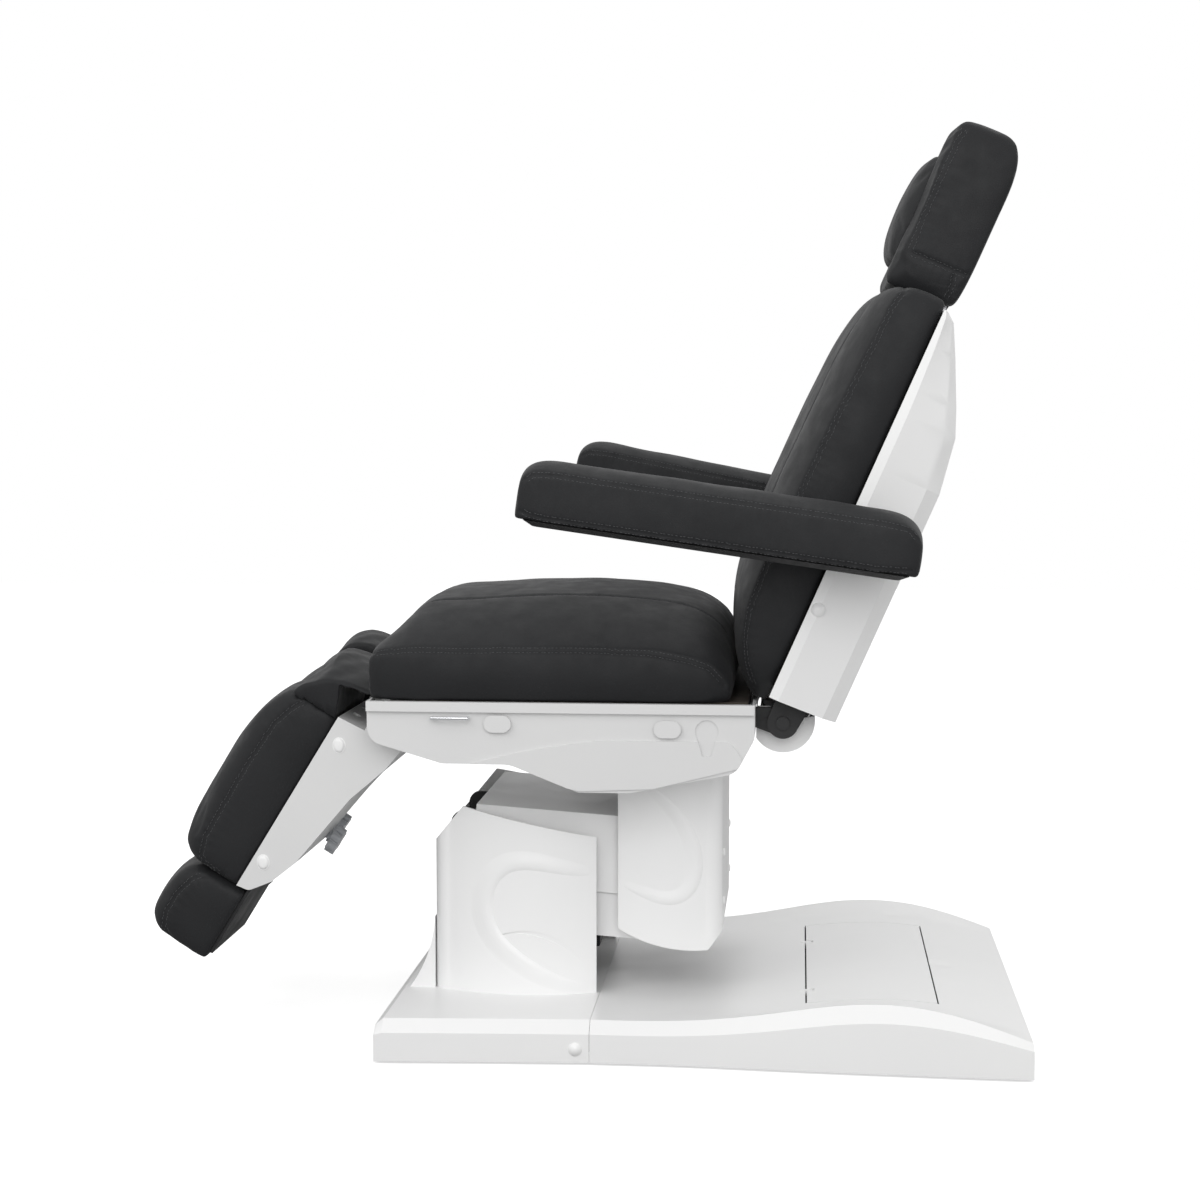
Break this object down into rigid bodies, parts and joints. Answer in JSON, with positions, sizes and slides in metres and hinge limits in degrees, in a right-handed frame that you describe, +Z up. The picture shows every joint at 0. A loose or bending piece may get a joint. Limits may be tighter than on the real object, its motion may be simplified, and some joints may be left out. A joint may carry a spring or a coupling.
{
  "type": "treatment chair",
  "caption": "Powered treatment chair with a parallelogram lift column on a low base, reclining back, sliding headrest, swing-up armrests and separate adjustable leg rests",
  "frame": {"origin": "on the floor, at the middle of the base", "axes": "+X towards the headrest, +Y towards the sitter's right, +Z up"},
  "size_m": [1.2688, 0.8272, 1.3033],
  "materials": {
    "white_shell": "white satin gloss moulded plastic",
    "upholstery": "charcoal grained synthetic leather with tonal stitching",
    "black_steel": "black powder coat",
    "bright_steel": "ground steel",
    "chrome": "bright chrome",
    "black_plastic": "matte black",
    "plywood": "plain plywood",
    "grey_knob": "smoked grey plastic",
    "rubber": "matte rubber"
  },
  "bodies": {
    "base": {"base_plate": "black_steel", "rubber_feet": "rubber", "base_front_cover": "white_shell", "base_rear_cover": "white_shell", "hatch_hinge_pins": "bright_steel", "control_box": "black_plastic", "mains_inlet": "black_plastic", "lift_pedestal": "black_steel", "pedestal_pins": "bright_steel", "column_front_cover": "white_shell", "lift_actuator": "black_plastic"},
    "hatch": {"base_hatch": "white_shell"},
    "lower_arm": {"lift_lower_arm": "black_steel", "lower_arm_cover": "white_shell"},
    "upper_arm": {"lift_upper_arm": "black_steel", "upper_arm_cover": "white_shell"},
    "lift_rod": {"lift_actuator_rod": "bright_steel"},
    "seat": {"lift_carriage": "black_steel", "carriage_pins": "bright_steel", "column_rear_cover": "white_shell", "seat_frame": "black_steel", "seat_board": "plywood", "seat_shell": "white_shell", "seat_cushion": "upholstery", "shell_caps": "white_shell", "strap_loops": "chrome", "leg_pivot_shaft": "bright_steel", "rear_hinge_cover": "white_shell", "back_hinge_pins": "black_steel", "back_actuator": "black_plastic"},
    "back_rod": {"back_actuator_rod": "bright_steel"},
    "backrest": {"backrest_frame": "black_steel", "backrest_board": "plywood", "backrest_shell": "white_shell", "backrest_cushion": "upholstery", "armrest_shafts": "bright_steel", "headrest_guides": "black_steel"},
    "headrest_carrier": {"headrest_bars": "bright_steel"},
    "headrest": {"headrest_frame": "black_steel", "headrest_cushion": "upholstery", "headrest_pillow": "upholstery"},
    "left_leg": {"left_leg_shell": "white_shell", "left_leg_frame": "black_steel", "left_leg_cushion": "upholstery", "left_leg_flap": "upholstery"},
    "left_foot": {"left_foot_frame": "black_steel", "left_foot_cushion": "upholstery"},
    "left_knob": {"left_clamp_knob": "grey_knob"},
    "left_arm": {"left_arm_board": "black_plastic", "left_arm_pad": "upholstery"},
    "right_leg": {"right_leg_shell": "white_shell", "right_leg_frame": "black_steel", "right_leg_cushion": "upholstery", "right_leg_flap": "upholstery"},
    "right_foot": {"right_foot_frame": "black_steel", "right_foot_cushion": "upholstery"},
    "right_knob": {"right_clamp_knob": "grey_knob"},
    "right_arm": {"right_arm_board": "black_plastic", "right_arm_pad": "upholstery"}
  },
  "joints": [
    {"name": "lift", "type": "hinge", "parent": "base", "child": "lower_arm", "pos_m": [-0.345, 0, 0.175], "axis": [0, -1, 0], "range_deg": [0, 58]},
    {"name": "upper_arm_turn", "type": "hinge", "parent": "base", "child": "upper_arm", "pos_m": [-0.345, 0, 0.285], "axis": [0, -1, 0], "range_deg": [-1, 59]},
    {"name": "seat_level", "type": "hinge", "parent": "lower_arm", "child": "seat", "pos_m": [-0.04573, 0, 0.15407], "axis": [0, -1, 0], "range_deg": [-59, 1]},
    {"name": "lift_drive", "type": "slide", "parent": "base", "child": "lift_rod", "axis": [1, 0, 0], "range_m": [-0.001, 0.0592]},
    {"name": "recline", "type": "hinge", "parent": "seat", "child": "backrest", "pos_m": [0.11, 0, 0.463], "axis": [0, 1, 0], "range_deg": [0, 66]},
    {"name": "back_drive", "type": "slide", "parent": "seat", "child": "back_rod", "axis": [-1, 0, 0], "range_m": [-0.001, 0.0315]},
    {"name": "headrest_height", "type": "slide", "parent": "backrest", "child": "headrest_carrier", "axis": [0.4035, 0, 0.915], "range_m": [0, 0.1]},
    {"name": "headrest_tilt", "type": "hinge", "parent": "headrest_carrier", "child": "headrest", "pos_m": [0.33124, 0, 1.06127], "axis": [0, 1, 0], "range_deg": [0, 34]},
    {"name": "hatch_lid", "type": "hinge", "parent": "base", "child": "hatch", "pos_m": [0.1499, 0, 0.06681], "axis": [0, -1, 0], "range_deg": [0, 75]},
    {"name": "left_leg_raise", "type": "hinge", "parent": "seat", "child": "left_leg", "pos_m": [-0.44, -0.124, 0.455], "axis": [0, 1, 0], "range_deg": [-12, 58], "deforming": ["left_leg_flap"]},
    {"name": "left_foot_reach", "type": "slide", "parent": "left_leg", "child": "left_foot", "axis": [-0.524, 0, -0.8517], "range_m": [0, 0.1]},
    {"name": "left_knob_turn", "type": "hinge", "parent": "left_leg", "child": "left_knob", "pos_m": [-0.56523, -0.042, 0.25144], "axis": [-0.8517, 0, 0.524], "range_deg": [0, 270]},
    {"name": "left_arm_swing", "type": "hinge", "parent": "backrest", "child": "left_arm", "pos_m": [0.23432, -0.304, 0.72258], "axis": [0, 1, 0], "range_deg": [-70, 100]},
    {"name": "right_leg_raise", "type": "hinge", "parent": "seat", "child": "right_leg", "pos_m": [-0.44, 0.124, 0.455], "axis": [0, 1, 0], "range_deg": [-15, 55], "deforming": ["right_leg_flap"]},
    {"name": "right_foot_reach", "type": "slide", "parent": "right_leg", "child": "right_foot", "axis": [-0.5678, 0, -0.8231], "range_m": [0, 0.1]},
    {"name": "right_knob_turn", "type": "hinge", "parent": "right_leg", "child": "right_knob", "pos_m": [-0.57571, 0.042, 0.25827], "axis": [-0.8231, 0, 0.5678], "range_deg": [0, 270]},
    {"name": "right_arm_swing", "type": "hinge", "parent": "backrest", "child": "right_arm", "pos_m": [0.23432, 0.304, 0.72258], "axis": [0, 1, 0], "range_deg": [-70, 100]}
  ],
  "couplings": [
    {"joint": "upper_arm_turn", "follows": "lift", "ratio": 1},
    {"joint": "seat_level", "follows": "lift", "ratio": -1},
    {"joint": "lift_drive", "follows": "lift", "m_per_rad": 0.05749},
    {"joint": "back_drive", "follows": "recline", "m_per_rad": 0.02648}
  ]
}
